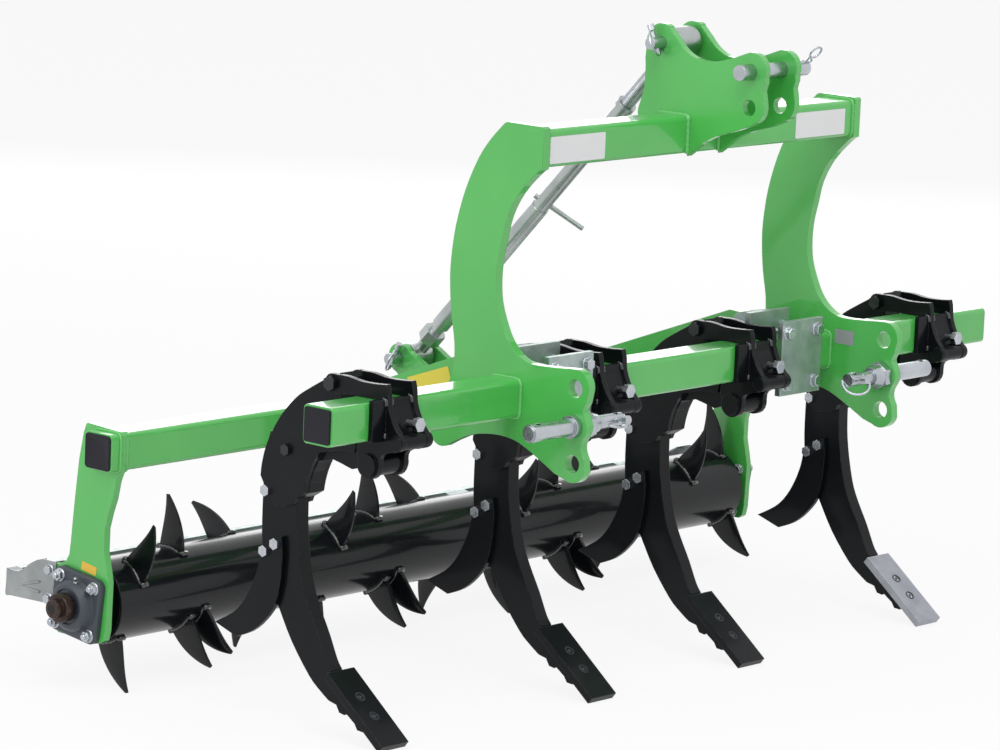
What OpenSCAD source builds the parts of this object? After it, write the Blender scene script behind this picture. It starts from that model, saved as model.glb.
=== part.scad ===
// Mounted subsoiler with four tines and a rear spiked roller.
// Millimetres. X is the working width, -Y is forward, +Z is up. The origin is on the floor under the middle of the machine.

/* [View] */

/* [Placing] */
machine_front_y = -171;
machine_rear_y = 722;
beam_front_y = -(machine_front_y + machine_rear_y) / 2;
beam_under_z = 481;

/* [Main frame] */
tube_side = 60;
tube_wall = 5;
tube_corner_r = 8;
beam_length = 1636;
cap_lip = 3;
cap_side = 53;
plate_x = 390;
plate_t = 15;
crossbar_front_y = -20;
crossbar_under_z = 392;
ear_x = 39;
ear_t = 12;

/* [Hitch pins] */
lower_hole_y = -111;
lower_hole_z = 4;
lower_hole_step = 59;
lower_hole_r = 14.2;
lower_pin_outer_r = 14;
lower_pin_inner_r = 11;
top_hole_y = -141;
top_hole_z = 478;
top_pin_z = 535;
top_hole_r = 12.9;
top_pin_r = 12.5;
link_pin_y = 43;
link_pin_z = 563;
link_pin_r = 10;

/* [Tines] */
tine_inner_x = 190;
tine_outer_inset = 140;
shank_t = 25;
cheek_t = 10;
point_w = 60;
point_t = 12;
wing_t = 8;

/* [Roller] */
roller_pivot_y = 104;
roller_pivot_z = 66;
arm_x = 292;
pivot_pin_r = 8;
arm_t = 15;
bar_front_y = 466;
bar_under_z = -114;
side_gap = 16;
side_t = 12;
axle_y = 550;
axle_z = -340;
drum_r = 67;
drum_length = 1548;
drum_wall = 6;
drum_end_t = 10;
spike_tip_r = 152.9;
spike_t = 12;
shaft_r = 15;
shaft_stub = 60;
spike_first = 52;
spike_group_step = 455;

/* [Turnbuckle] */
lug_pin_y = 590;
lug_pin_z = -28;
barrel_r = 13.5;
sleeve_r = 15.5;
pin_clear = 0.08;
screw_r = 11;

/* [Hidden] */
green = [0.36, 0.72, 0.38];
black = [0.11, 0.12, 0.13];
zinc = [0.72, 0.74, 0.76];
galvanised = [0.52, 0.58, 0.56];
plastic = [0.17, 0.16, 0.18];
iron = [0.19, 0.22, 0.26];
running_gap = 0.3;
tine_outer_x = beam_length / 2 - tine_outer_inset;
tine_xs = [-tine_outer_x, -tine_inner_x, tine_inner_x, tine_outer_x];

side_x = drum_length / 2 + side_gap + side_t / 2;
bar_half = side_x + side_t / 2;
shaft_end_x = bar_half + shaft_stub;

// Placing and drawing helpers
module placed() { translate([0, beam_front_y, beam_under_z]) children(); }
module plate_at(x, t) { translate([x, 0, 0]) rotate([90, 0, 90]) linear_extrude(t, center = true) children(); }
module rod_x(x0, x1, r, y, z, fn = 32) { translate([x0, y, z]) rotate([0, 90, 0]) cylinder(h = x1 - x0, r = r, $fn = fn); }
module rod_y(y0, y1, r, x, z, fn = 24) { translate([x, y0, z]) rotate([-90, 0, 0]) cylinder(h = y1 - y0, r = r, $fn = fn); }
module square_tube_2d(side, wall, corner) {
    difference() {
        offset(r = corner, $fn = 24) offset(delta = -corner) square(side);
        translate([wall, wall]) offset(r = max(1, corner - wall), $fn = 16) offset(delta = -max(1, corner - wall)) square(side - 2 * wall);
    }
}
function curve(p, n = 4) = [for (i = [0:len(p) - 2]) for (s = [0:n - 1]) let (
        a = p[max(0, i - 1)], b = p[i], c = p[i + 1], d = p[min(len(p) - 1, i + 2)], t = s / n)
        0.5 * (2 * b + (c - a) * t + (2 * a - 5 * b + 4 * c - d) * t * t + (3 * b - 3 * c + d - a) * t * t * t)];
function arc(cy, cz, r, a0, a1, n = 8) = [for (i = [0:n]) let (a = a0 + (a1 - a0) * i / n) [cy + r * cos(a), cz + r * sin(a)]];

// Main frame
module main_beam() {
    color(green) placed() plate_at(0, beam_length) square_tube_2d(tube_side, tube_wall, tube_corner_r);
}
module tube_plug(x, way) {
    lip = (tube_side - cap_side) / 2;
    hole = tube_side - 2 * tube_wall;
    translate([x + way * cap_lip / 2, 0, 0]) plate_at(0, cap_lip) translate([lip, lip]) offset(r = 4, $fn = 24) offset(delta = -4) square(cap_side);
    translate([x - way * 8, 0, 0]) plate_at(0, 16) translate([tube_wall + 0.2, tube_wall + 0.2]) offset(r = 2.8, $fn = 16) offset(delta = -2.8) square(hole - 0.4);
}
module beam_end_caps() {
    color(plastic) placed() for (way = [-1, 1]) tube_plug(way * beam_length / 2, way);
}

// Headstock side plate, drawn in y and z
module headstock_plate_2d() {
    polygon(concat(
        curve([[-96, 92], [-60, 89], [-18, 88], [8, 97], [29, 115], [44, 140], [57, 173], [61, 206], [59, 240], [52, 272], [43, 310], [21, 349], [-12, 383], [-24, 391]], 3),
        [[-24, 391], [-24, 454], [-20, 457], [50, 457]],
        curve([[56, 455], [83, 428], [108, 394], [133, 341], [150, 282], [157, 228], [157, 190], [152, 145], [143, 100], [143, 60], [156, 25], [181, -10], [187, -40]], 3),
        arc(162, -45, 25, 0, -110, 7),
        curve([[135, -58], [99, -42], [55, -34], [11, -36], [-30, -52], [-92, -84]], 3),
        arc(-110, -58, 27, -60, -165, 8),
        curve([[-134, -45], [-128, -33], [-128, -20], [-136, -5], [-138, 8], [-132, 22], [-128, 32], [-136, 46]], 3),
        arc(-111, 66, 27, 190, 95, 8)
    ));
}
module headstock_plate(way) {
    color(green) placed() difference() {
        plate_at(way * plate_x, plate_t) difference() {
            headstock_plate_2d();
            offset(r = tube_corner_r, $fn = 24) offset(delta = -tube_corner_r) square(tube_side);
        }
        for (k = [-1:1]) rod_x(way * plate_x - plate_t, way * plate_x + plate_t, k == 0 ? lower_pin_outer_r : lower_hole_r, lower_hole_y, lower_hole_z + k * lower_hole_step);
    }
}
module headstock_plate_left() { headstock_plate(-1); }
module headstock_plate_right() { headstock_plate(1); }
module headstock_crossbar() {
    color(green) placed() plate_at(0, 2 * plate_x - plate_t) translate([crossbar_front_y, crossbar_under_z]) square_tube_2d(tube_side, tube_wall, tube_corner_r);
}

// Top hitch ears with the upper hitch hole, the lower hole and the turnbuckle lobe
module hitch_plates() {
    back = crossbar_front_y + tube_side;
    color(green) placed() for (x = [-ear_x, ear_x]) difference() {
        plate_at(x, ear_t) difference() {
            polygon(concat(
                arc(link_pin_y, link_pin_z, 31, -8, 118, 10),
                curve([[28, 588], [10, 571], [-6, 556], [-30, 545], [-62, 543], [-90, 549], [-118, 558]], 3),
                arc(machine_front_y + 28, 538, 28, 65, 200, 9),
                curve([[-170, 520], [-166, 507], [-170, 495]], 2),
                arc(-143, 480, 28, 165, 250, 6),
                curve([[-150, 452], [-120, 440], [-77, 426], [-48, 410], [-21, 388]], 3),
                [[crossbar_front_y, 388], [crossbar_front_y, crossbar_under_z + tube_side], [back, crossbar_under_z + tube_side], [back, 420]],
                curve([[52, 418], [70, 428], [86, 445], [80, 470], [75, 490], [74, 520], [76, 540]], 3)
            ));
            translate([crossbar_front_y, crossbar_under_z]) square(tube_side);
        }
        for (z = [top_hole_z, top_pin_z]) rod_x(x - ear_t, x + ear_t, z == top_hole_z ? top_hole_r : top_pin_r, top_hole_y, z);
        rod_x(x - ear_t, x + ear_t, link_pin_r, link_pin_y, link_pin_z);
    }
}

// Hitch pins
module hitch_pin() {
    color(zinc) placed() difference() {
        union() {
            rod_x(-74, 92, top_pin_r, top_hole_y, top_pin_z);
            rod_x(ear_x + ear_t / 2, ear_x + ear_t / 2 + 6, 18, top_hole_y, top_pin_z);
        }
        translate([84, top_hole_y, top_pin_z - 20]) cylinder(h = 40, r = 3.2, $fn = 16);
        translate([-66, top_hole_y, top_pin_z - 20]) cylinder(h = 40, r = 3.2, $fn = 16);
    }
}
module turnbuckle_top_pin() {
    color(zinc) placed() difference() {
        union() {
            rod_x(-74, 62, link_pin_r, link_pin_y, link_pin_z);
            rod_x(ear_x + ear_t / 2, 62, 15, link_pin_y, link_pin_z);
        }
        translate([-60, link_pin_y, link_pin_z - 20]) cylinder(h = 40, r = 3.2, $fn = 16);
    }
}
module lower_link_pin(way) {
    face = plate_x + plate_t / 2;
    inner = plate_x - plate_t / 2;
    color(zinc) placed() mirror([way < 0 ? 1 : 0, 0, 0]) difference() {
        union() {
            rod_x(inner - 26, face + 12, lower_pin_outer_r, lower_hole_y, lower_hole_z);
            rod_x(face, face + 12, 18, lower_hole_y, lower_hole_z);
            rod_x(face + 12, 500, lower_pin_outer_r, lower_hole_y, lower_hole_z);
            rod_x(498, 503, 11.5, lower_hole_y, lower_hole_z);
            rod_x(inner - 16, inner, 24, lower_hole_y, lower_hole_z, 6);
            translate([inner - 34, lower_hole_y, lower_hole_z]) rotate([0, 90, 0]) cylinder(h = 18, r1 = 15, r2 = 20, $fn = 32);
            rod_x(289, inner - 20, lower_pin_inner_r, lower_hole_y, lower_hole_z);
        }
        translate([484, lower_hole_y, lower_hole_z - 20]) cylinder(h = 40, r = 6, $fn = 20);
        translate([303, lower_hole_y, lower_hole_z - 20]) cylinder(h = 40, r = 6, $fn = 20);
    }
}
module lower_link_pin_left() { lower_link_pin(-1); }
module lower_link_pin_right() { lower_link_pin(1); }

// Tines, drawn about x = 0
clamp_gap = 46;
upper_boss = [-31, 0];
upper_boss_r = 13;
lower_boss = [25, -42];
lower_boss_r = 18;
pivot_bolt_r = 8;
clamp_plate_near = 62;
clamp_plate_short = 47;
clamp_plate_t = 8;
arm_gap = 0.3;
clamp_screw = [6, 26];
pivot_bolt = [106, 72];
module clamp_cheek_2d() {
    polygon(concat(
        curve([[-6, 86], [-10, 72], [-12, 52], [-24, 27], [-37, 12]], 3),
        arc(upper_boss[0], upper_boss[1], upper_boss_r, 140, 275, 7),
        curve([[-26, -15], [-12, -18], [0, -24], [4, -34]], 2),
        arc(lower_boss[0], lower_boss[1], lower_boss_r + 4, 170, 340, 9),
        curve([[47, -34], [50, -20], [46, -8], [34, -running_gap]], 2),
        [[0, -running_gap], [0, tube_side + running_gap], [66, tube_side + running_gap], [84, 58.5], [100, 57]],
        arc(pivot_bolt[0], pivot_bolt[1], 15, -70, 100, 8),
        curve([[98, 86.5], [76, 87], [46, 83.5], [17, 84], [-6, 86]], 3)
    ));
}
module tine_clamp(x, near = clamp_plate_near) {
    color(black) placed() translate([x, 0, 0]) difference() {
        union() {
            for (s = [-1, 1]) plate_at(s * (clamp_gap / 2 + cheek_t / 2), cheek_t) clamp_cheek_2d();
            translate([-near, -clamp_plate_t, 0]) cube([near + clamp_gap / 2, clamp_plate_t, tube_side + 4]);
            plate_at(0, clamp_gap) polygon([[0, 4], [0, 64], [-8, 64], [-9, 50], [-19, 27], [-24, 14], [-24, 4]]);
            rod_x(-clamp_gap / 2 - cheek_t - 3, clamp_gap / 2 + cheek_t + 3, upper_boss_r - 1, upper_boss[0], upper_boss[1]);
            rod_x(-clamp_gap / 2 - cheek_t - 5, clamp_gap / 2 + cheek_t + 5, lower_boss_r, lower_boss[0], lower_boss[1]);
        }
        rod_x(-50, 50, pivot_bolt_r, pivot_bolt[0], pivot_bolt[1], 24);
        rod_y(-60, 1, 6, clamp_screw[0], clamp_screw[1]);
    }
}
module tine_clamp_1() { tine_clamp(tine_xs[0]); }
module tine_clamp_2() { tine_clamp(tine_xs[1], clamp_plate_short); }
module tine_clamp_3() { tine_clamp(tine_xs[2]); }
module tine_clamp_4() { tine_clamp(tine_xs[3]); }

shank_bolts = [[246, -118], [206, -48]];
module bracket_outline_2d() {
    polygon(concat(
        curve([[98, 88], [121, 78], [137, 69.5], [162, 55], [184, 41], [204, 23], [224, 0], [241, -28], [252, -51], [259, -78], [261, -97]], 3),
        [[261, -97], [253, -109], [254, -130], [232, -140]],
        curve([[232, -140], [210, -138], [190, -131]], 2),
        [[190, -131], [187, -123]],
        curve([[167, -111], [164, -94], [158, -75], [150, -59]], 2),
        [[150, -59], [138, -42], [100, -32], [64, -30], [60, -3], [66, -2]],
        curve([[84, 6], [94, 20], [97, 36], [95, 50], [91, 61]], 3),
        arc(pivot_bolt[0], pivot_bolt[1], 17, 215, 150, 4)
    ));
}
module bracket_forward_arm_2d() {
    polygon(concat(
        [[170, -20], [186, -26.2], [162, -42], [150, -58], [130, -54], [118, -50], [98, -54], [77, -59], [63, -54]],
        arc(lower_boss[0], lower_boss[1], lower_boss_r + arm_gap, -30, 50, 6),
        [[40, -3], [66, -2]]
    ));
}
module tine_bracket(x) {
    color(black) placed() translate([x, 0, 0]) difference() {
        union() {
            for (s = [-1, 1]) plate_at(s * (shank_t / 2 + cheek_t / 2), cheek_t) bracket_outline_2d();
            plate_at(0, shank_t) {
                intersection() {
                    bracket_outline_2d();
                    translate([60, -26]) square([220, 130]);
                }
                bracket_forward_arm_2d();
            }
        }
        rod_x(-50, 50, pivot_bolt_r, pivot_bolt[0], pivot_bolt[1], 24);
        for (b = shank_bolts) rod_x(-50, 50, 6, b[0], b[1], 24);
    }
}
module tine_bracket_1() { tine_bracket(tine_xs[0]); }
module tine_bracket_2() { tine_bracket(tine_xs[1]); }
module tine_bracket_3() { tine_bracket(tine_xs[2]); }
module tine_bracket_4() { tine_bracket(tine_xs[3]); }

wing_bolts = [[247, -214], [224, -199]];
module tine_shank(x) {
    color(black) placed() translate([x, 0, 0]) difference() {
        plate_at(0, shank_t) difference() {
            polygon(concat(
            [[190, -27], [252, -27]],
            curve([[262, -60], [264, -146], [262, -205], [252, -243], [236, -276], [221, -301], [191, -349], [152, -395], [128, -414], [101, -431]], 3),
            [[92, -430], [85, -441], [74, -443], [70, -440], [52, -452], [46, -461], [34, -462], [30, -459], [4, -473]],
            [point_under + 9 * point_way, point_under + point_length * point_way],
            curve([[106, -379], [116, -366], [134, -330], [157, -290], [171, -257], [184, -200], [189, -150], [190, -60]], 3)
            ));
            translate(point_under) rotate(point_angle) translate([0, running_gap]) square([point_length + 1, 3 * point_t]);
        }
        for (b = shank_bolts) rod_x(-30, 30, 6, b[0], b[1], 24);
        for (b = wing_bolts) rod_x(-30, 30, 5.5, b[0], b[1], 24);
    }
}
module tine_shank_1() { tine_shank(tine_xs[0]); }
module tine_shank_2() { tine_shank(tine_xs[1]); }
module tine_shank_3() { tine_shank(tine_xs[2]); }
module tine_shank_4() { tine_shank(tine_xs[3]); }

// Chisel point: a flat plate on the front of the foot, cut level at its top and its tip
point_angle = 38;
point_length = 152;
point_way = [cos(point_angle), sin(point_angle)];
point_tip = [-23, point_t * cos(point_angle) - beam_under_z];
point_under = point_tip + point_t * [sin(point_angle), -cos(point_angle)];
point_bolt_at = [0.38, 0.64];
module tine_point(x) {
    color(black) placed() translate([x, point_tip[0], point_tip[1]]) rotate([point_angle, 0, 0]) difference() {
        translate([-point_w / 2, 0, -point_t]) cube([point_w, point_length, point_t]);
        for (s = point_bolt_at) translate([0, s * point_length, -point_t - 1]) cylinder(h = point_t + 2, r = 6, $fn = 24);
    }
}
module tine_point_1() { tine_point(tine_xs[0]); }
module tine_point_2() { tine_point(tine_xs[1]); }
module tine_point_3() { tine_point(tine_xs[2]); }
module tine_point_4() { tine_point(tine_xs[3]); }

module tine_wings() {
    color(black) placed() for (x = tine_xs) difference() {
        plate_at(x - shank_t / 2 - wing_t / 2, wing_t) polygon(concat(
            [[214, -186], [238, -196], [254, -208]],
            curve([[257, -216], [262, -243], [273, -272], [290, -301], [313, -324], [352, -346]], 3),
            [[352, -346], [304, -361]],
            curve([[304, -361], [272, -347], [245, -325], [222, -294], [212, -250], [210, -200]], 3)
        ));
        for (b = wing_bolts) rod_x(x - 40, x, 5.5, b[0], b[1], 24);
    }
}

// Bolts of the tines: pivot and front screw of every clamp, shank, wing and point bolts
module tine_bolts() {
    color(zinc) placed() for (x = tine_xs) translate([x, 0, 0]) {
        rod_x(-35, 35, pivot_bolt_r, pivot_bolt[0], pivot_bolt[1], 24);
        for (s = [-1, 1]) rod_x(s > 0 ? 33 : -41, s > 0 ? 41 : -33, 12, pivot_bolt[0], pivot_bolt[1], 6);
        rod_y(-34, -1, 6, clamp_screw[0], clamp_screw[1]);
        rod_y(-44, -34, 11.5, clamp_screw[0], clamp_screw[1], 6);
        for (b = shank_bolts) {
            rod_x(-24, 24, 6, b[0], b[1], 24);
            for (s = [-1, 1]) rod_x(s > 0 ? 22.5 : -29, s > 0 ? 29 : -22.5, 9.5, b[0], b[1], 6);
        }
        for (b = wing_bolts) {
            rod_x(-shank_t / 2 - wing_t - 2, shank_t / 2 + 3, 5.5, b[0], b[1], 24);
            rod_x(-shank_t / 2 - wing_t - 7, -shank_t / 2 - wing_t, 9.5, b[0], b[1], 6);
            rod_x(shank_t / 2, shank_t / 2 + 9, 9.5, b[0], b[1], 6);
        }
        translate([0, point_tip[0], point_tip[1]]) rotate([point_angle, 0, 0]) for (s = point_bolt_at)
            translate([0, s * point_length, -point_t]) cylinder(h = point_t - 0.5, r = 6, $fn = 24);
    }
}

// Clamp brackets of the roller frame on the beam
bracket_w = 106;
bracket_plate_t = 10;
bracket_under_z = -33;
bracket_top_z = 91;
bracket_bolt_dx = 38;
module roller_bracket(way) {
    h = bracket_top_z - bracket_under_z;
    color(galvanised) placed() translate([way * arm_x, 0, 0]) difference() {
        union() {
            translate([-bracket_w / 2, -bracket_plate_t, bracket_under_z]) cube([bracket_w, bracket_plate_t, h]);
            translate([-bracket_w / 2, tube_side, bracket_under_z]) cube([bracket_w, bracket_plate_t, h + 6]);
            for (s = [-1, 1]) plate_at(s * (arm_t / 2 + 2 + 4), 8) difference() {
                polygon(concat([[tube_side + bracket_plate_t, bracket_under_z + 20], [tube_side + bracket_plate_t, bracket_top_z + 6]],
                    arc(roller_pivot_y, roller_pivot_z, 24, 80, -60, 10)));
            }
            for (sx = [-1, 1]) for (z = [72, -14]) {
                rod_y(-bracket_plate_t - 8, tube_side + bracket_plate_t + 8, 5, sx * bracket_bolt_dx, z, 16);
                rod_y(-bracket_plate_t - 7, -bracket_plate_t, 9.5, sx * bracket_bolt_dx, z, 6);
                rod_y(tube_side + bracket_plate_t, tube_side + bracket_plate_t + 8, 9.5, sx * bracket_bolt_dx, z, 6);
            }
        }
        rod_x(-40, 40, pivot_pin_r, roller_pivot_y, roller_pivot_z, 28);
    }
}
module roller_bracket_left() { roller_bracket(-1); }
module roller_bracket_right() { roller_bracket(1); }
module roller_pivot_pins() {
    color(zinc) placed() for (way = [-1, 1]) translate([way * arm_x, 0, 0]) {
        rod_x(-28, 28, pivot_pin_r, roller_pivot_y, roller_pivot_z, 28);
        for (s = [-1, 1]) rod_x(s > 0 ? 17.5 : -26, s > 0 ? 26 : -17.5, 12, roller_pivot_y, roller_pivot_z, 6);
    }
}

// Roller frame
module roller_arm(way) {
    color(green) placed() difference() {
        plate_at(way * arm_x, arm_t) polygon(concat(
            arc(roller_pivot_y, roller_pivot_z, 22, 70, 250, 12),
            [[140, 24], [bar_front_y, bar_under_z + 2], [bar_front_y, bar_under_z + tube_side + 10], [436, -27], [140, 88]]
        ));
        rod_x(way * arm_x - 20, way * arm_x + 20, pivot_pin_r + pin_clear, roller_pivot_y, roller_pivot_z, 28);
    }
}
module roller_arm_left() { roller_arm(-1); }
module roller_arm_right() { roller_arm(1); }
module roller_crossbar() {
    color(green) placed() plate_at(0, 2 * bar_half) translate([bar_front_y, bar_under_z]) square_tube_2d(tube_side, tube_wall, tube_corner_r);
}
module roller_bar_caps() {
    color(plastic) placed() translate([0, bar_front_y, bar_under_z]) for (way = [-1, 1]) tube_plug(way * bar_half, way);
}
module roller_side_plate(way) {
    color(green) placed() difference() {
        plate_at(way * side_x, side_t) difference() {
            polygon(concat(
                [[454, -40], [456, -108]],
                curve([[458, -118], [464, -158], [474, -195], [484, -225], [489, -256], [489, -280], [486, -298]], 3),
                [[486, -300], [494, -392], [602, -392], [606, -356], [636, -350], [638, -292]],
                curve([[626, -282], [596, -272], [580, -230], [566, -160], [558, -110], [552, -40]], 3)
            ));
            translate([bar_front_y, bar_under_z]) offset(r = tube_corner_r, $fn = 24) offset(delta = -tube_corner_r) square(tube_side);
        }
        rod_x(way * side_x - 20, way * side_x + 20, 24, axle_y, axle_z, 40);
        for (sy = [-1, 1]) for (sz = [-1, 1]) rod_x(way * side_x - 20, way * side_x + 20, 5.5, axle_y + sy * 36, axle_z + sz * 36, 20);
        for (z = [-304, -334]) rod_x(way * side_x - 20, way * side_x + 20, 4.5, 620, z, 16);
    }
}
module roller_side_plate_left() { roller_side_plate(-1); }
module roller_side_plate_right() { roller_side_plate(1); }
module bearing_housings() {
    color(iron) placed() for (way = [-1, 1]) mirror([way < 0 ? 1 : 0, 0, 0]) {
        difference() {
            union() {
                plate_at(bar_half + 6, 12) translate([axle_y - 50, axle_z - 50]) offset(r = 12, $fn = 24) offset(delta = -12) square(100);
                translate([bar_half + 12, axle_y, axle_z]) rotate([0, 90, 0]) cylinder(h = 19, r1 = 41, r2 = 35, $fn = 40);
                for (sy = [-1, 1]) for (sz = [-1, 1]) {
                    rod_x(bar_half - 20, bar_half + 21, 5.5, axle_y + sy * 36, axle_z + sz * 36, 20);
                    rod_x(bar_half + 12, bar_half + 18, 9, axle_y + sy * 36, axle_z + sz * 36, 6);
                    rod_x(bar_half - side_t - 7, bar_half - side_t, 9, axle_y + sy * 36, axle_z + sz * 36, 6);
                }
            }
            rod_x(bar_half - 1, bar_half + 40, shaft_r + pin_clear, axle_y, axle_z, 40);
        }
    }
}

// Spiked drum. Each row is a claw: its x step in the group and the angle of its tip, from the rear upwards
spikes = [[0, 122], [-28, 247.2], [115, 87], [128, 207], [140, 229], [234, 62], [285, -14], [330, 292.8]];
spike_back = 34;
spike_front = 16;
module spike_2d(tip) {
    n = 6;
    seat_r = drum_r - drum_wall / 2;
    function at_polar(t, a) = (seat_r + (spike_tip_r - seat_r) * t) * [cos(a), sin(a)];
    polygon(concat(
        [for (i = [0:n]) at_polar(i / n, tip + 1.4 + spike_back * (1 - i / n))],
        [for (i = [n:-1:0]) at_polar(i / n, tip - 1.4 - spike_front * pow(1 - i / n, 2.4))],
        [for (a = [1:3]) at_polar(0, tip - spike_front + a * (spike_front + spike_back) / 4)]
    ));
}
module roller_drum() {
    color(black) placed() translate([0, axle_y, axle_z]) union() {
        difference() {
            rod_x(-drum_length / 2, drum_length / 2, drum_r, 0, 0, 64);
            rod_x(-drum_length / 2 + drum_end_t, drum_length / 2 - drum_end_t, drum_r - drum_wall, 0, 0, 64);
            rod_x(-drum_length, drum_length, 8, 42, 0, 20);
        }
        for (way = [-1, 1]) mirror([way < 0 ? 1 : 0, 0, 0]) {
            rod_x(drum_length / 2 - 60, shaft_end_x, shaft_r, 0, 0, 40);
            rod_x(bar_half + 33, bar_half + 48, 23, 0, 0, 40);
        }
        for (g = [0:3]) for (s = spikes) let (x = -drum_length / 2 + spike_first + g * spike_group_step + s[0]) if (abs(x) < drum_length / 2 - spike_t / 2)
            plate_at(x, spike_t) spike_2d(s[1]);
    }
}

// Scraper behind the drum: an angle bar outside the spikes' sweep, with a finger between the spikes of every group
scraper_front_y = 708;
scraper_back_y = machine_rear_y;
scraper_top_z = -312;
scraper_h = 44;
scraper_t = 5;
finger_w = 50;
finger_dx = 58;
finger_gap = 8;
module scraper_bar() {
    color(galvanised) placed() union() {
        plate_at(0, 2 * bar_half) {
            translate([scraper_front_y, scraper_top_z - scraper_t]) square([scraper_back_y - scraper_front_y, scraper_t]);
            translate([scraper_back_y - scraper_t, scraper_top_z - scraper_h]) square([scraper_t, scraper_h]);
        }
        for (g = [0:3]) plate_at(-drum_length / 2 + spike_first + g * spike_group_step + finger_dx, finger_w)
            polygon([[scraper_front_y, scraper_top_z], [scraper_front_y + 6, scraper_top_z - scraper_t], [axle_y + drum_r + finger_gap + 4, axle_z + 6], [axle_y + drum_r + finger_gap, axle_z + 9]]);
    }
}
module scraper_brackets() {
    color(galvanised) placed() for (way = [-1, 1]) mirror([way < 0 ? 1 : 0, 0, 0]) union() {
        plate_at(bar_half + 2, 4) polygon([[601, -290], [scraper_back_y, -292], [scraper_back_y, -366], [616, -344], [601, -342]]);
        for (z = [-304, -334]) {
            rod_x(bar_half - side_t - 6, bar_half + 10, 4.5, 620, z, 16);
            rod_x(bar_half + 4, bar_half + 10, 8, 620, z, 6);
            rod_x(bar_half - side_t - 6, bar_half - side_t, 8, 620, z, 6);
        }
    }
}

// Turnbuckle and its lug on the rear crossbar
tb_dy = lug_pin_y - link_pin_y;
tb_dz = lug_pin_z - link_pin_z;
tb_length = sqrt(tb_dy * tb_dy + tb_dz * tb_dz);
tb_angle = atan2(tb_dz, tb_dy);
module along_turnbuckle() { placed() translate([0, link_pin_y, link_pin_z]) rotate([tb_angle, 0, 0]) children(); }
module tb_rod(s0, s1, r, fn = 32) { translate([0, s0, 0]) rotate([-90, 0, 0]) cylinder(h = s1 - s0, r = r, $fn = fn); }
handle_s = 412;
barrel_end = 722;
lock_nut_s = 738;
rod_start = 560;
eye_clear = 4;
module turnbuckle_barrel() {
    color(zinc) along_turnbuckle() difference() {
        union() {
            rod_x(-25, 25, 24, 0, 0, 36);
            tb_rod(18, 160, screw_r);
            tb_rod(152, handle_s, barrel_r);
            tb_rod(152, 162, barrel_r + 3.2);
            tb_rod(handle_s, barrel_end, sleeve_r);
            translate([0, handle_s - 12, 0]) rotate([0, -37, 0]) translate([0, 0, -78]) cylinder(h = 98, r = 4.5, $fn = 20);
        }
        rod_x(-30, 30, link_pin_r + pin_clear, 0, 0, 32);
        tb_rod(rod_start - 60, barrel_end + 60, screw_r + pin_clear);
    }
}
module turnbuckle_rod() {
    color(zinc) along_turnbuckle() difference() {
        union() {
            tb_rod(rod_start, tb_length - 15, screw_r);
            tb_rod(lock_nut_s, lock_nut_s + 24, 20, 6);
            rod_x(-22, 22, 23, tb_length, 0, 36);
        }
        rod_x(-30, 30, link_pin_r + eye_clear, tb_length, 0, 32);
    }
}
module turnbuckle_lug() {
    color(green) placed() for (x = [-33, 33]) difference() {
        plate_at(x, 12) polygon(concat(
            [[500, bar_under_z + tube_side], [506, -40], [530, -6]],
            curve([[538, 2], [560, 6], [586, 2]], 2),
            arc(lug_pin_y, lug_pin_z, 30, 80, -75, 9),
            [[bar_front_y + tube_side, -100], [bar_front_y + tube_side, bar_under_z + tube_side]]
        ));
        rod_x(x - 12, x + 12, link_pin_r, lug_pin_y, lug_pin_z);
    }
}
module turnbuckle_lower_pin() {
    color(zinc) placed() difference() {
        union() {
            rod_x(-66, 54, link_pin_r, lug_pin_y, lug_pin_z);
            rod_x(39, 48, 15, lug_pin_y, lug_pin_z);
        }
        translate([-54, lug_pin_y, lug_pin_z - 20]) cylinder(h = 40, r = 3.2, $fn = 16);
    }
}

main_beam();
beam_end_caps();
headstock_plate_left();
headstock_plate_right();
headstock_crossbar();
hitch_plates();
hitch_pin();
turnbuckle_top_pin();
lower_link_pin_left();
lower_link_pin_right();
tine_clamp_1();
tine_clamp_2();
tine_clamp_3();
tine_clamp_4();
tine_bracket_1();
tine_bracket_2();
tine_bracket_3();
tine_bracket_4();
tine_shank_1();
tine_shank_2();
tine_shank_3();
tine_shank_4();
tine_point_1();
tine_point_2();
tine_point_3();
tine_point_4();
tine_wings();
tine_bolts();
roller_bracket_left();
roller_bracket_right();
roller_pivot_pins();
roller_arm_left();
roller_arm_right();
roller_crossbar();
roller_bar_caps();
roller_side_plate_left();
roller_side_plate_right();
bearing_housings();
roller_drum();
scraper_bar();
scraper_brackets();
turnbuckle_lug();
turnbuckle_lower_pin();
turnbuckle_barrel();
turnbuckle_rod();
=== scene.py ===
"""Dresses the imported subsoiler: finishes, small fittings, labels, floor, light and camera."""
import math

import bpy
import bmesh
from mathutils import Matrix, Vector


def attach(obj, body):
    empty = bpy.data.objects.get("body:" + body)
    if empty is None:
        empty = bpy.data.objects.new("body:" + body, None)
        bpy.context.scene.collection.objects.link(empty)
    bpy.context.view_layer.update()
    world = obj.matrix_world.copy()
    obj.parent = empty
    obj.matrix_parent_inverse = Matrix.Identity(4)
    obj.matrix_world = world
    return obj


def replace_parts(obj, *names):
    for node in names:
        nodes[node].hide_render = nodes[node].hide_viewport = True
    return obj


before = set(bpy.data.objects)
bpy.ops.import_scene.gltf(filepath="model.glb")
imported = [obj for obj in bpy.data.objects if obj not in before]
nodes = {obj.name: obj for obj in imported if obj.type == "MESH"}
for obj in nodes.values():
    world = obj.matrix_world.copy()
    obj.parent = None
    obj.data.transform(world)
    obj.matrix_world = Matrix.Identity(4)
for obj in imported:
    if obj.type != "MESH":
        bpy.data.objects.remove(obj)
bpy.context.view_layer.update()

# The source draws in the beam's own coordinates, in millimetres. These two numbers move them to the frame.
FRONT_Y = -275.5
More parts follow.
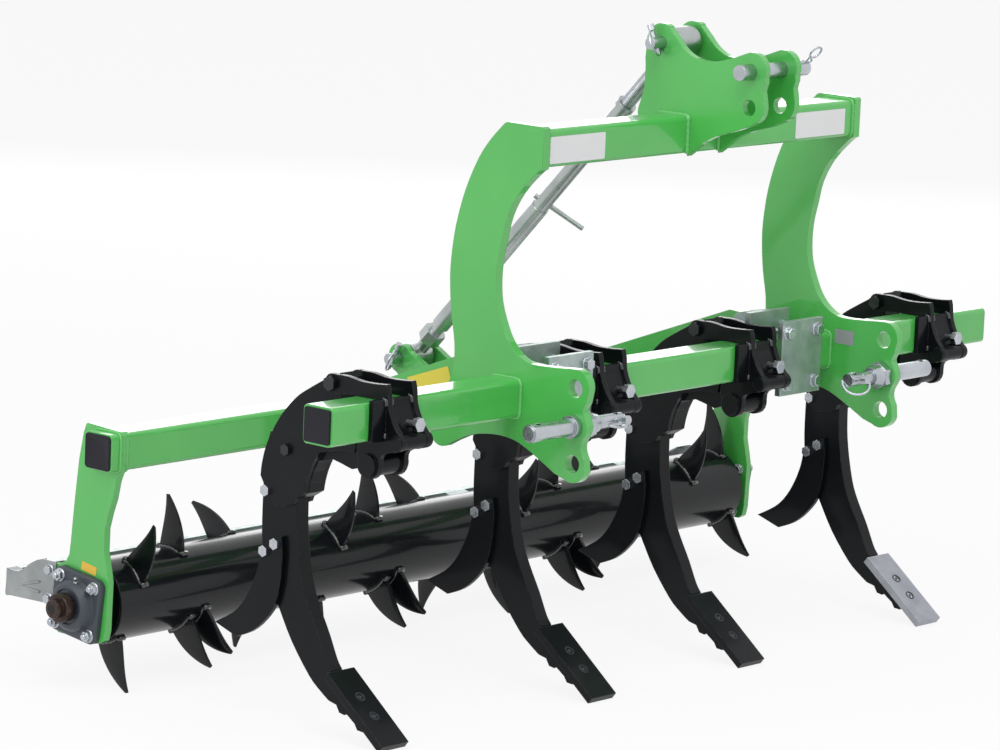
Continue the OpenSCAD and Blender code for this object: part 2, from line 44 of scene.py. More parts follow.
UNDER_Z = 481.0


def at(x, y, z):
    """A point given in beam coordinates, in metres of the frame."""
    return Vector((x, y + FRONT_Y, z + UNDER_Z)) * 0.001


# Sizes that repeat the source's own
PLATE_X, PLATE_T = 390.0, 15.0
SIDE_X, SIDE_T = 796.0, 12.0
BAR_HALF = SIDE_X + SIDE_T / 2
LINK_PIN = (43.0, 563.0)
LUG_PIN = (590.0, -28.0)
AXLE = (550.0, -340.0)
TINES = (-678.0, -190.0, 190.0, 678.0)
SPIKES = ((0, 122), (-28, 247.2), (115, 87), (138, 215), (112, 226.5), (275, 42), (285, -14), (330, 292.8))
TB_LEN = math.hypot(LUG_PIN[0] - LINK_PIN[0], LUG_PIN[1] - LINK_PIN[1])
TB_DIR = Vector((0, (LUG_PIN[0] - LINK_PIN[0]) / TB_LEN, (LUG_PIN[1] - LINK_PIN[1]) / TB_LEN))


# Materials
def material(name):
    m = bpy.data.materials.new(name)
    m.use_nodes = True
    return m, m.node_tree, m.node_tree.nodes["Principled BSDF"]


def add(tree, kind, **sockets):
    n = tree.nodes.new(kind)
    for k, v in sockets.items():
        n.inputs[k.replace("_", " ")].default_value = v
    return n


def noise(tree, scale, detail=4.0, rough=0.5):
    coord = tree.nodes.new("ShaderNodeTexCoord")
    n = add(tree, "ShaderNodeTexNoise", Scale=scale, Detail=detail, Roughness=rough)
    tree.links.new(coord.outputs["Object"], n.inputs["Vector"])
    return n.outputs["Fac"]


def ramp(tree, fac, stops):
    r = tree.nodes.new("ShaderNodeValToRGB")
    while len(r.color_ramp.elements) < len(stops):
        r.color_ramp.elements.new(0.5)
    for e, (p, c) in zip(r.color_ramp.elements, stops):
        e.position = p
        e.color = (*c, 1) if len(c) == 3 else c
    tree.links.new(fac, r.inputs["Fac"])
    return r.outputs["Color"]


def grey(v):
    return (v, v, v)


def bumped(tree, bsdf, height, strength, distance, edge=0.0):
    """Surface relief, with edges rounded by the given radius in metres."""
    b = add(tree, "ShaderNodeBump", Strength=strength, Distance=distance)
    tree.links.new(height, b.inputs["Height"])
    if edge:
        bev = tree.nodes.new("ShaderNodeBevel")
        bev.samples = 6
        bev.inputs["Radius"].default_value = edge
        tree.links.new(bev.outputs["Normal"], b.inputs["Normal"])
    tree.links.new(b.outputs["Normal"], bsdf.inputs["Normal"])


def within(tree, low, high):
    """1 where the frame's coordinates, in metres, lie between two corners, else 0."""
    coord = tree.nodes.new("ShaderNodeTexCoord")
    sep = tree.nodes.new("ShaderNodeSeparateXYZ")
    tree.links.new(coord.outputs["Object"], sep.inputs[0])
    out = None
    for axis in range(3):
        for bound, kind in ((low[axis], "GREATER_THAN"), (high[axis], "LESS_THAN")):
            if bound is None:
                continue
            c = tree.nodes.new("ShaderNodeMath")
            c.operation = kind
            tree.links.new(sep.outputs[axis], c.inputs[0])
            c.inputs[1].default_value = bound
            if out is None:
                out = c.outputs[0]
            else:
                mul = tree.nodes.new("ShaderNodeMath")
                mul.operation = "MULTIPLY"
                tree.links.new(out, mul.inputs[0])
                tree.links.new(c.outputs[0], mul.inputs[1])
                out = mul.outputs[0]
    return out


def blended(tree, mask, a, b):
    """Colour a where mask is 0, b where it is 1."""
    mix = tree.nodes.new("ShaderNodeMix")
    mix.data_type = "RGBA"
    tree.links.new(mask, mix.inputs[0])
    for socket, v in ((6, a), (7, b)):
        if isinstance(v, tuple):
            mix.inputs[socket].default_value = (*v, 1)
        else:
            tree.links.new(v, mix.inputs[socket])
    return mix.outputs[2]


def edges(tree, radius, amount):
    """How strongly an edge takes the lighter edge colour, partly wear and partly painted edge highlight: 1 where the
    rounded normal leaves the flat one, broken up by noise.
    """
    bev = tree.nodes.new("ShaderNodeBevel")
    bev.samples = 6
    bev.inputs["Radius"].default_value = radius
    geo = tree.nodes.new("ShaderNodeNewGeometry")
    dot = tree.nodes.new("ShaderNodeVectorMath")
    dot.operation = "DOT_PRODUCT"
    tree.links.new(bev.outputs["Normal"], dot.inputs[0])
    tree.links.new(geo.outputs["Normal"], dot.inputs[1])
    edge = ramp(tree, dot.outputs["Value"], [(0.80, grey(1)), (0.97, grey(0))])
    spots = ramp(tree, noise(tree, 55.0, 6.0, 0.7), [(0.56 - 0.2 * amount, grey(0)), (0.66 - 0.2 * amount, grey(1))])
    mul = tree.nodes.new("ShaderNodeMath")
    mul.operation = "MULTIPLY"
    tree.links.new(edge, mul.inputs[0])
    tree.links.new(spots, mul.inputs[1])
    return mul.outputs[0]


def paint(name, dark, light, rough, coat, coat_rough, relief, edge, edge_wear_and_highlight=None, edge_wear_and_highlight_amount=0.0, specular=0.5):
    """Sprayed paint: slow colour change, fine orange peel, a clear gloss, and a lighter colour in spots along the
    edges, partly wear and partly painted edge highlight.
    """
    m, t, p = material(name)
    base = ramp(t, noise(t, 5.0, 3.0), [(0.3, dark), (0.7, light)])
    if edge_wear_and_highlight:
        base = blended(t, edges(t, 0.0016, edge_wear_and_highlight_amount), base, edge_wear_and_highlight)
    t.links.new(base, p.inputs["Base Color"])
    t.links.new(ramp(t, noise(t, 14.0, 5.0, 0.6), [(0.3, grey(rough)), (0.75, grey(rough + 0.12))]), p.inputs["Roughness"])
    p.inputs["Specular IOR Level"].default_value = specular
    p.inputs["Coat Weight"].default_value = coat
    p.inputs["Coat Roughness"].default_value = coat_rough
    bumped(t, p, noise(t, 420.0, 2.0), relief, 0.0004, edge)
    return m


def plated(name, dark, light, rough, relief, scale, edge, metal=1.0):
    """Plated or raw metal: cloudy colour, uneven roughness and fine grain."""
    m, t, p = material(name)
    t.links.new(ramp(t, noise(t, scale, 5.0, 0.6), [(0.3, dark), (0.7, light)]), p.inputs["Base Color"])
    t.links.new(ramp(t, noise(t, scale * 2.5, 4.0, 0.6), [(0.3, grey(rough - 0.07)), (0.7, grey(rough + 0.1))]), p.inputs["Roughness"])
    p.inputs["Metallic"].default_value = metal
    bumped(t, p, noise(t, 900.0, 3.0), relief, 0.0003, edge)
    return m


# The last colour given to the green and black paints is the lighter edge colour: partly wear, partly painted edge
# highlight.
green = paint("green_paint", (0.058, 0.425, 0.068), (0.078, 0.485, 0.086), 0.30, 0.85, 0.08, 0.05, 0.0024, (0.30, 0.62, 0.32), 0.25)
black = paint("black_paint", (0.0028, 0.0034, 0.0046), (0.0066, 0.0078, 0.0100), 0.28, 0.13, 0.08, 0.12, 0.0028, (0.060, 0.064, 0.072), 0.5, 0.11)
drum_black = paint("drum_paint", (0.0030, 0.0036, 0.0050), (0.0066, 0.0076, 0.0100), 0.20, 0.28, 0.07, 0.06, 0.0018, (0.060, 0.064, 0.072), 0.35, 0.16)
zinc = plated("zinc_plate", (0.40, 0.42, 0.46), (0.56, 0.59, 0.63), 0.24, 0.03, 16.0, 0.0010)
steel_tube = plated("tube_galvanised", (0.35, 0.385, 0.38), (0.52, 0.555, 0.55), 0.30, 0.04, 12.0, 0.0010)
galvanised = plated("galvanised_steel", (0.30, 0.37, 0.36), (0.47, 0.54, 0.52), 0.40, 0.18, 30.0, 0.0012, 0.75)
plug = paint("plug_plastic", (0.0100, 0.0095, 0.0150), (0.0165, 0.0155, 0.0230), 0.42, 0.0, 0.3, 0.25, 0.0025, specular=0.2)
iron = paint("bearing_iron", (0.030, 0.038, 0.050), (0.044, 0.054, 0.070), 0.42, 0.15, 0.3, 0.45, 0.0015)
brown = plated("shaft_brown", (0.018, 0.011, 0.009), (0.070, 0.042, 0.034), 0.27, 0.25, 60.0, 0.001, 0.6)
weld = paint("weld_green", (0.085, 0.43, 0.095), (0.12, 0.53, 0.13), 0.36, 0.5, 0.15, 0.35, 0.0)
weld_black = paint("weld_black", (0.006, 0.007, 0.009), (0.014, 0.015, 0.018), 0.18, 0.8, 0.08, 0.5, 0.0)
# The white labels' colour is lowered towards grey: painted shade.
label_white_shaded = paint("label_white_shaded", (0.70, 0.70, 0.71), (0.77, 0.77, 0.78), 0.40, 0.3, 0.2, 0.03, 0.0)
label_yellow = paint("label_yellow", (0.72, 0.44, 0.03), (0.80, 0.52, 0.05), 0.42, 0.3, 0.2, 0.03, 0.0)
label_lemon = paint("label_lemon", (0.74, 0.60, 0.055), (0.80, 0.67, 0.08), 0.42, 0.3, 0.2, 0.03, 0.0)
sheet_zinc = plated("sheet_zinc", (0.25, 0.265, 0.27), (0.37, 0.39, 0.395), 0.36, 0.12, 24.0, 0.0010, 0.85)
label_grey = paint("label_grey", (0.20, 0.21, 0.22), (0.38, 0.39, 0.41), 0.30, 0.2, 0.2, 0.03, 0.0)
# Tine 4's point gets a light steel grey that is a painted reflection seen on it from this angle.
point_reflection_grey = plated("point_painted_reflection", (0.30, 0.31, 0.36), (0.42, 0.43, 0.48), 0.34, 0.10, 24.0, 0.0012, 0.55)
bolts = plated("bolt_zinc", (0.42, 0.44, 0.48), (0.60, 0.63, 0.67), 0.24, 0.05, 30.0, 0.0010)
t, p = bolts.node_tree, bolts.node_tree.nodes["Principled BSDF"]
painted = None
for far_x, y0, y1, z0, z1 in ((2.0, 88, 124, 54, 90), (2.0, 188, 224, -66, -30), (0.5, -30, 120, -475, -385)):
    mask = within(t, (None, (y0 + FRONT_Y) / 1000, (z0 + UNDER_Z) / 1000), (far_x, (y1 + FRONT_Y) / 1000, (z1 + UNDER_Z) / 1000))
    if painted:
        either = t.nodes.new("ShaderNodeMath")
        either.operation = "ADD"
        either.use_clamp = True
        t.links.new(painted, either.inputs[0])
        t.links.new(mask, either.inputs[1])
        mask = either.outputs[0]
    painted = mask
t.links.new(blended(t, painted, p.inputs["Base Color"].links[0].from_socket, (0.006, 0.007, 0.009)), p.inputs["Base Color"])
t.links.new(ramp(t, painted, [(0.4, grey(1.0)), (0.6, grey(0.0))]), p.inputs["Metallic"])

FINISH = {
    green: ("main_beam", "headstock_plate_left", "headstock_plate_right", "headstock_crossbar", "hitch_plates", "roller_arm_left", "roller_arm_right",
            "roller_crossbar", "roller_side_plate_left", "roller_side_plate_right", "turnbuckle_lug"),
    zinc: ("hitch_pin", "turnbuckle_top_pin", "lower_link_pin_left", "lower_link_pin_right", "roller_pivot_pins", "turnbuckle_lower_pin"),
    bolts: ("tine_bolts",),
    steel_tube: ("turnbuckle_barrel", "turnbuckle_rod"),
    point_reflection_grey: ("tine_point_4",),
    galvanised: ("roller_bracket_left", "roller_bracket_right", "scraper_bar", "scraper_brackets"),
    plug: ("beam_end_caps", "roller_bar_caps"),
    iron: ("bearing_housings",),
    drum_black: ("roller_drum",),
}
finish_of = {n: m for m, names in FINISH.items() for n in names}
for name, obj in nodes.items():
    m = finish_of.get(name, black)
    for s in obj.material_slots:
        s.material = m
    if not obj.material_slots:
        obj.data.materials.append(m)


# Small fittings
def finish_mesh(name, bm, mat, body, smooth=35.0):
    me = bpy.data.meshes.new(name)
    bmesh.ops.recalc_face_normals(bm, faces=bm.faces)
    bm.to_mesh(me)
    bm.free()
    me.materials.append(mat)
    for f in me.polygons:
        f.use_smooth = True
    me.set_sharp_from_angle(angle=math.radians(smooth))
    o = bpy.data.objects.new(name, me)
    bpy.context.scene.collection.objects.link(o)
    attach(o, body)
    return o


def tube_path(bm, points, radius, sides=10, closed=False, taper=None):
    """A round wire through the points, in metres."""
    pts = [Vector(p) for p in points]
    n = len(pts)
    rings = []
    up = None
    for i, p in enumerate(pts):
        a = pts[(i - 1) % n] if closed or i else p
        b = pts[(i + 1) % n] if closed or i < n - 1 else p
        d = (b - a).normalized()
        if up is None:
            up = d.orthogonal().normalized()
        up = (up - d * up.dot(d)).normalized()
        side = d.cross(up)
        r = radius * (taper[i] if taper else 1.0)
        rings.append([bm.verts.new(p + (up * math.cos(t) + side * math.sin(t)) * r) for t in (2 * math.pi * k / sides for k in range(sides))])
    last = n if closed else n - 1
    for i in range(last):
        a, b = rings[i], rings[(i + 1) % n]
        if closed and i == n - 1:
            shift = min(range(sides), key=lambda s: (a[0].co - b[s].co).length)
            b = b[shift:] + b[:shift]
        for k in range(sides):
            bm.faces.new((a[k], a[(k + 1) % sides], b[(k + 1) % sides], b[k]))
    if not closed:
        bm.faces.new(rings[0][::-1])
        bm.faces.new(rings[-1])


def prism(bm, outline, x0, x1):
    """A flat outline of (y, z) points in beam coordinates, stretched from x0 to x1."""
    a = [bm.verts.new(at(x0, y, z)) for y, z in outline]
    b = [bm.verts.new(at(x1, y, z)) for y, z in outline]
    bm.faces.new(a)
    bm.faces.new(b[::-1])
    for i in range(len(a)):
        j = (i + 1) % len(a)
        bm.faces.new((a[i], b[i], b[j], a[j]))


def turned(bm, profile, y, z, sides=48, way=1.0):
    """A body turned about an axle along x, from (x, radius) pairs, closed at both ends."""
    rings = [[bm.verts.new(at(way * x, y + r * math.cos(t), z + r * math.sin(t))) for t in (2 * math.pi * k / sides for k in range(sides))] for x, r in profile]
    for a, b in zip(rings, rings[1:]):
        for k in range(sides):
            bm.faces.new((a[k], a[(k + 1) % sides], b[(k + 1) % sides], b[k]))
    bm.faces.new(rings[0][::-1])
    bm.faces.new(rings[-1])


def hex_head(bm, centre, axis, radius, height, turn=0.3):
    """A bolt head or nut with its washer; centre is on the seat, in beam coordinates."""
    c, n = at(*centre), Vector(axis).normalized()
    u = n.orthogonal().normalized()
    v = n.cross(u)
    for r0, h0, h1, sides in ((radius + 1.6, 0.0, 1.6, 24), (radius, 1.5, height, 6)):
        rings = []
        for h, r in ((h0, r0), (h1 - 0.8, r0), (h1, r0 - 1.1)):
            rings.append([bm.verts.new(c + n * h * 0.001 + (u * math.cos(t) + v * math.sin(t)) * r * 0.001) for t in (turn + 2 * math.pi * k / sides for k in range(sides))])
        for a, b in zip(rings, rings[1:]):
            for k in range(sides):
                bm.faces.new((a[k], a[(k + 1) % sides], b[(k + 1) % sides], b[k]))
        bm.faces.new(rings[0][::-1])
        bm.faces.new(rings[-1])


def arc(y, z, r, a0, a1, n):
    return [(y + r * math.cos(math.radians(a0 + (a1 - a0) * k / n)), z + r * math.sin(math.radians(a0 + (a1 - a0) * k / n))) for k in range(n + 1)]


def label(name, centre, size, normal, up, mat, body, thick=0.0004):
    """A blank rounded sticker on a flat face."""
    n = Vector(normal).normalized()
    u = Vector(up).normalized()
    s = u.cross(n).normalized()
    w, h = size[0] / 2000, size[1] / 2000
    r = min(w, h) * 0.12
    bm = bmesh.new()
    ring = []
    for cx, cy, a0 in ((w - r, h - r, 0), (-w + r, h - r, 90), (-w + r, -h + r, 180), (w - r, -h + r, 270)):
        for k in range(5):
            a = math.radians(a0 + 22.5 * k)
            ring.append((cx + r * math.cos(a), cy + r * math.sin(a)))
    c = Vector(centre)
    top = [bm.verts.new(c + s * x + u * y + n * thick) for x, y in ring]
    low = [bm.verts.new(c + s * x + u * y + n * 0.00002) for x, y in ring]
    bm.faces.new(top)
    bm.faces.new(low[::-1])
    for i in range(len(ring)):
        j = (i + 1) % len(ring)
        bm.faces.new((top[i], low[i], low[j], top[j]))
    return finish_mesh(name, bm, mat, body)


def weld_bead(name, lines, mat, body, radius=3.2):
    """Ripple-surfaced weld beads along polylines given in beam coordinates."""
    bm = bmesh.new()
    for line in lines:
        pts, taper = [], []
        for a, b in zip(line, line[1:]):
            va, vb = at(*a), at(*b)
            steps = max(2, int((vb - va).length / 0.0028))
            for k in range(steps):
                pts.append(va.lerp(vb, k / steps))
        pts.append(at(*line[-1]))
        taper = [0.5 if i in (0, len(pts) - 1) else (1.0 if i % 2 else 0.82) + 0.10 * math.sin(i * 1.7) for i in range(len(pts))]
        tube_path(bm, pts, radius * 0.001, 7, taper=taper)
    return finish_mesh(name, bm, mat, body, 80)


# Weld beads round the square tubes and along the ears
def square_loop(x, y0, z0, side, r=8.0, grow=0.6):
    y1, z1 = y0 + side, z0 + side
    pts = []
    for cy, cz, a0 in ((y1 - r, z1 - r, 0), (y0 + r, z1 - r, 90), (y0 + r, z0 + r, 180), (y1 - r, z0 + r, 270)):
        for k in range(4):
            a = math.radians(a0 + 30 * k)
            pts.append((x, cy + (r + grow) * math.cos(a), cz + (r + grow) * math.sin(a)))
    return pts + [pts[0]]


beam_welds, ear_welds = [], []
for s in (-1, 1):
    for off in (-1, 1):
        beam_welds.append(square_loop(s * PLATE_X + off * (PLATE_T / 2 + 1.2), 0, 0, 60))
    beam_welds.append(square_loop(s * (PLATE_X - PLATE_T / 2 - 1.2), -20, 392, 60))
for s in (-1, 1):
    for off in (-7.2, 7.2):
        x = s * 39 + off
        ear_welds.append([(x, -20.5, 392), (x, -20.5, 450), (x, -18, 452.5), (x, 38, 452.5), (x, 40.5, 450), (x, 40.5, 424)])
weld_bead("beam_welds", beam_welds, weld, "main_frame", 3.4)
weld_bead("ear_welds", ear_welds, weld, "main_frame", 4.6)
rear_welds = []
for s in (-1, 1):
    rear_welds.append(square_loop(s * (BAR_HALF - SIDE_T - 1.0), 466, -114, 60))
    rear_welds.append(square_loop(s * (BAR_HALF + 1.6), 466, -114, 60, grow=0.8))
    for off in (-1, 1):
        rear_welds.append([(s * 292 + off * 8.5, 465, -110), (s * 292 + off * 8.5, 465, -50)])
    for off in (-7.2, 7.2):
        rear_welds.append([(s * 33 + off, 502, -53), (s * 33 + off, 524, -53), (s * 33 + off, 527, -60), (s * 33 + off, 527, -98)])
weld_bead("rear_welds", rear_welds, weld, "roller_frame", 3.0)


# Linch pin: pin with a sprung ring, drawn in its own plane
def linch(name, centre, pin_axis, ring_axis, body, pin_len=44, pin_r=4.5, ring_r=21, wire_r=2.2, ring_other=None, shift=(0, 0, 0)):
    c = Vector(centre)
    p = Vector(pin_axis).normalized()
    r = Vector(ring_axis).normalized()
    bm = bmesh.new()
    half = pin_len / 2000
    tube_path(bm, [c - p * half, c - p * (half - 0.002), c + p * (half - 0.002), c + p * (half + 0.006)], pin_r * 0.001, 14, taper=[0.75, 1, 1, 1])
    head = c + p * (half + 0.001)
    tube_path(bm, [head, head + p * 0.010], (pin_r + 2.5) * 0.001, 14)
    rr = ring_r * 0.001
    mid = c + r * 0.0
    q = Vector(ring_other).normalized() if ring_other else p
    loop = [mid + q * (rr * math.cos(t)) * 1.08 + r * (rr * math.sin(t)) for t in (2 * math.pi * k / 40 for k in range(40))]
    away = (Vector(shift) * 0.001) if ring_other else r * 0.004
    tube_path(bm, [v + away for v in loop], wire_r * 0.001, 8, closed=True)
    return finish_mesh(name, bm, zinc, body)


for s, side in ((-1, "left"), (1, "right")):
    ring = ((0.662, -0.749, -0.05), (0.52, 0.46, 0.7), (0, -7, -6)) if s > 0 else ((1, 0, 0), (0, 1, 0.25), (0, 0, -3))
    linch(f"linch_lower_{side}", at(s * 303, -111, 4), (0, -1, 0.15), ring[1], "main_frame", 40, ring_other=ring[0], shift=ring[2])
linch("linch_top", at(-60, *LINK_PIN), (0, 0.45, 1), (-1, -0.35, 0.15), "main_frame", 40, 3.2, 19, 2.0)
linch("linch_lug", at(-54, *LUG_PIN), (0, -0.5, 1), (-1, -0.35, -0.15), "roller_frame", 40, 3.2, 19, 2.0)


# Spring clip in the hitch pin's far end
def clip():
    bm = bmesh.new()
    c = at(84, -141, 535)
    pts = [c + Vector((0, 0, -0.030)), c + Vector((0, 0, 0.0)), c + Vector((0, 0, 0.022))]
    for k in range(1, 15):
        a = math.radians(-90 + 300 * k / 14)
        pts.append(c + Vector((0.010 + 0.0, 0, 0.032)) + Vector((0.011 * math.cos(a), 0.002 * k / 14, 0.011 * math.sin(a))))
    pts += [c + Vector((0.018, 0.003, 0.012)), c + Vector((0.0135, 0.003, 0.004)), c + Vector((0.0175, 0.003, -0.006)), c + Vector((0.013, 0.003, -0.016)), c + Vector((0.019, 0.003, -0.028))]
    lean = Matrix.Rotation(math.radians(38), 4, "X")
    tube_path(bm, [c + lean @ (q - c) for q in pts], 0.0018, 8)
    return finish_mesh("hitch_clip", bm, zinc, "main_frame")


clip()

# Labels, all blank
for x, name in ((-312, "near"), (296, "far")):
    label(f"label_bar_{name}", at(x, -20.2, 419), (130, 42), (0, -1, 0), (0, 0, 1), label_white_shaded, "main_frame")
label("label_arm", at(-299.8, 281.4, 6.2), (93, 30), (-1, 0, 0), (0, 0.36, 1), label_lemon, "roller_frame")
label("label_bearing", at(-802.2, 531, -279), (34, 14), (-1, 0, 0), (0, -0.16, 1), label_yellow, "roller_frame")
label("plate_data", at(382.2, -28.7, 55.4), (40, 24), (-1, 0, 0), (0, 0, 1), label_grey, "main_frame")


# Roller: blobs of weld at the spikes' roots and the turned shaft ends
def on_drum(x, radius, angle):
    a = math.radians(angle)
    return at(x, AXLE[0] + radius * math.cos(a), AXLE[1] + radius * math.sin(a))


def spike_places():
    return [(-722 + 455 * g + dx, tip) for g in range(4) for dx, tip in SPIKES if abs(-722 + 455 * g + dx) < 768]


bm = bmesh.new()
for x, tip in spike_places():
    for side in (-1, 1):
        pts = [on_drum(x + side * 6.5, 67.6, tip - 15 + 45 * k / 12) for k in range(13)]
        tube_path(bm, pts, 0.0036, 7, taper=[0.5] + [1.0 if k % 2 else 0.7 for k in range(11)] + [0.5])
    for end in (-15, 31):
        tube_path(bm, [on_drum(x + 7 * math.sin(t), 67.4 + 2 * math.cos(t), tip + end) for t in (-1.5, -0.8, 0.0, 0.8, 1.5)], 0.0052, 8, taper=[0.6, 1.0, 0.85, 1.0, 0.6])
finish_mesh("spike_welds", bm, weld_black, "roller", 80)

# Drum with claws that thin out towards their edges and tips
bm = bmesh.new()
turned(bm, [(-862, 12.5), (-860, 15), (-768, 15), (-768, 61), (-774, 61.4), (-774, 66), (-773, 67), (773, 67), (774, 66), (774, 61.4), (768, 61), (768, 15), (860, 15), (862, 12.5)], *AXLE, 72)
for x, tip in spike_places():
    rings = []
    for k in range(15):
        f = k / 14
        r = 63.0 + (152.6 - 63.0) * f
        back = tip + 1.2 + 30 * (1 - f) ** 1.02
        front = tip - 1.2 - 15.5 * (1 - f) ** 2.3
        thick = 5.0 * (1 - f) ** 0.6 + 1.1
        edge = 2.4 * (1 - f) + 0.7
        ridge = front + (back - front) * 0.48
        ring = [(edge, back), (thick, ridge), (edge, front), (-edge, front), (-thick, ridge), (-edge, back)]
        rings.append([bm.verts.new(on_drum(x + d, r, a)) for d, a in ring])
    for a, b in zip(rings, rings[1:]):
        for k in range(6):
            bm.faces.new((a[k], a[(k + 1) % 6], b[(k + 1) % 6], b[k]))
    bm.faces.new(rings[0][::-1])
    bm.faces.new(rings[-1])
drum = finish_mesh("drum_with_claws", bm, drum_black, "roller", 28)
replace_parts(drum, "roller_drum")

bm = bmesh.new()
for s in (-1, 1):
    turned(bm, [(833.6, 15.3), (834.6, 23.2), (849.4, 23.4), (850.6, 22.4), (850.8, 15.4), (860.6, 15.2), (862.3, 13.4), (862.4, 8.0), (857.0, 5.0)], *AXLE, 40, s)
finish_mesh("shaft_ends", bm, brown, "roller", 30)

# Side plates of the roller frame, with the rear bar's ends standing proud of them
side_outline = [(468, -51), (540, -47.5)] + arc(541, -54, 6.5, 80, 8, 4) + [(551.5, -64), (560, -106), (565, -148), (570, -195), (574, -240), (577, -264), (584, -276), (600, -283),
                (622, -288), (634, -293), (635, -350), (607, -356), (602, -390), (598, -394), (500, -394), (493, -389), (489, -372), (487, -295), (491, -275), (498, -246), (497.5, -210),
                (490, -183), (481.7, -161), (475, -130), (467, -112), (464, -100), (463.5, -56)]
for s, side in ((-1, "left"), (1, "right")):
    bm = bmesh.new()
    prism(bm, side_outline, s * (BAR_HALF - SIDE_T), s * BAR_HALF)
    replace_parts(finish_mesh(f"side_plate_{side}", bm, green, "roller_frame", 40), f"roller_side_plate_{side}")


def rounded_square(y, z, side, r, turn=0.0):
    pts = []
    for cy, cz, a0 in ((1, 1, 0), (-1, 1, 90), (-1, -1, 180), (1, -1, 270)):
        pts += arc(cy * (side / 2 - r), cz * (side / 2 - r), r, a0, a0 + 90, 5)
    c, w = math.cos(math.radians(turn)), math.sin(math.radians(turn))
    return [(y + p * c - q * w, z + p * w + q * c) for p, q in pts]


def layered(bm, layers):
    """Rings of equal count joined one after another, from (x, outline) pairs, closed at both ends."""
    rings = [[bm.verts.new(at(x, y, z)) for y, z in outline] for x, outline in layers]
    n = len(rings[0])
    for a, b in zip(rings, rings[1:]):
        for k in range(n):
            bm.faces.new((a[k], a[(k + 1) % n], b[(k + 1) % n], b[k]))
    bm.faces.new(rings[0][::-1])
    bm.faces.new(rings[-1])


stubs, plugs = bmesh.new(), bmesh.new()
for s in (-1, 1):
    layered(stubs, [(s * (BAR_HALF - 1), rounded_square(496, -84, 60, 8)), (s * 821.2, rounded_square(496, -84, 60, 8)), (s * 822, rounded_square(496, -84, 58.4, 7.4))])
    layered(plugs, [(s * 820, rounded_square(496, -84, 55, 6)), (s * 824.4, rounded_square(496, -84, 55.6, 6)), (s * 825.6, rounded_square(496, -84, 53.6, 5.4)),
                    (s * 825.6, rounded_square(496, -84, 46, 4)), (s * 825.1, rounded_square(496, -84, 44, 3.6))])
finish_mesh("rear_bar_stubs", stubs, green, "roller_frame", 40)
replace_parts(finish_mesh("rear_bar_plugs", plugs, plug, "roller_frame", 40), "roller_bar_caps")

# Flanged bearings, a little turned on their bolts, with zinc nuts and bolt heads
flanges, nuts = bmesh.new(), bmesh.new()
for s in (-1, 1):
    y, z = AXLE
    layered(flanges, [(s * (BAR_HALF + 0.2), rounded_square(y, z, 106, 14, 7)), (s * (BAR_HALF + 9.5), rounded_square(y, z, 106, 14, 7)),
                      (s * (BAR_HALF + 12), rounded_square(y, z, 101.5, 12, 7))])
    turned(flanges, [(813, 44), (815, 42.5), (822, 41), (827, 39), (830.5, 35), (831.6, 31), (831.2, 28.4), (828, 27.6), (828, 25)], y, z, 56, s)
    for by, bz in ((1, 1), (-1, 1), (-1, -1), (1, -1)):
        c, w = math.cos(math.radians(7)), math.sin(math.radians(7))
        py, pz = y + 39 * (by * c - bz * w), z + 39 * (by * w + bz * c)
        hex_head(nuts, (s * (BAR_HALF + 12), py, pz), (s, 0, 0), 9.2, 8.5, by + 0.4 * bz)
        tube_path(nuts, [at(s * (BAR_HALF + 18), py, pz), at(s * (BAR_HALF + 24.5), py, pz), at(s * (BAR_HALF + 25.5), py, pz)], 0.0050, 14, taper=[1, 1, 0.75])
        hex_head(nuts, (s * (BAR_HALF - SIDE_T), py, pz), (-s, 0, 0), 9.2, 7.5, 0.2)
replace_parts(finish_mesh("bearing_flanges", flanges, iron, "roller_frame", 32), "bearing_housings")

# Scraper brackets: tapered sheet with a folded top and a pressed rib
sheets = bmesh.new()
for s in (-1, 1):
    x0, x1 = s * (BAR_HALF + 0.4), s * (BAR_HALF + 3.4)
    top = [(716, -310), (704, -312.5), (690, -311), (676, -303.5), (662, -293), (648, -285.5), (634, -281.5), (606, -281)]
    prism(sheets, top + [(604, -284), (603, -348), (618, -351), (719, -354), (720, -350)], x0, x1)
    for a, b in zip(top, top[1:]):
        prism(sheets, [a, b, (b[0], b[1] - 3), (a[0], a[1] - 3)], x0, s * (BAR_HALF - 18)) if a[0] > 648 else None
    for end in ((640, -319), (640, -336)):
        tube_path(sheets, [at(x1, 689, -333), at(x1, (689 + end[0]) / 2, (-333 + end[1]) / 2), at(x1, *end)], 0.0022, 8, taper=[0.5, 1.0, 1.3])
    for by, bz in ((618, -296), (619, -343)):
        hex_head(nuts, (x1, by, bz), (s, 0, 0), 8.0, 7.0, 0.5)
        hex_head(nuts, (s * (BAR_HALF - SIDE_T), by, bz), (-s, 0, 0), 8.0, 6.5, 0.1)
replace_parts(finish_mesh("scraper_brackets_folded", sheets, sheet_zinc, "roller_frame", 30), "scraper_brackets")
finish_mesh("rear_nuts", nuts, zinc, "roller_frame", 30)

